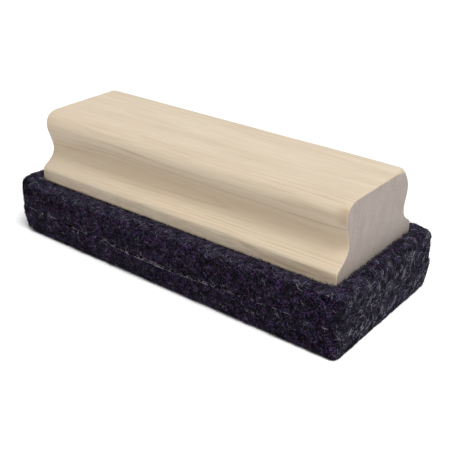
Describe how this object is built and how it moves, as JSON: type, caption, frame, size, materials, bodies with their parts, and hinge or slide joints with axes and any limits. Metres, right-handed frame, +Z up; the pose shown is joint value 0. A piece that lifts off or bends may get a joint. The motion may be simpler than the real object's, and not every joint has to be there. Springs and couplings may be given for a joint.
{
  "type": "chalkboard eraser",
  "caption": "Handheld chalkboard eraser: a pale wooden block with a finger cove along each side, glued to a thick pad of dark grey wool felt.",
  "frame": {"origin": "centre of the felt's underside, on the surface that the eraser rests on", "axes": "+X along the length, +Y across the width, +Z up, from the felt to the handle's flat top"},
  "size_m": [0.14, 0.06, 0.046],
  "materials": {
    "handle_wood": "bare, fine sanded",
    "felt": "dense wool felt, charcoal mixture",
    "adhesive": "dried contact adhesive"
  },
  "bodies": {
    "root": {"wooden_handle": "handle_wood", "handle_glue_film": "adhesive", "felt_upper_layer": "felt", "layer_glue_film": "adhesive", "felt_lower_layer": "felt"}
  },
  "joints": []
}
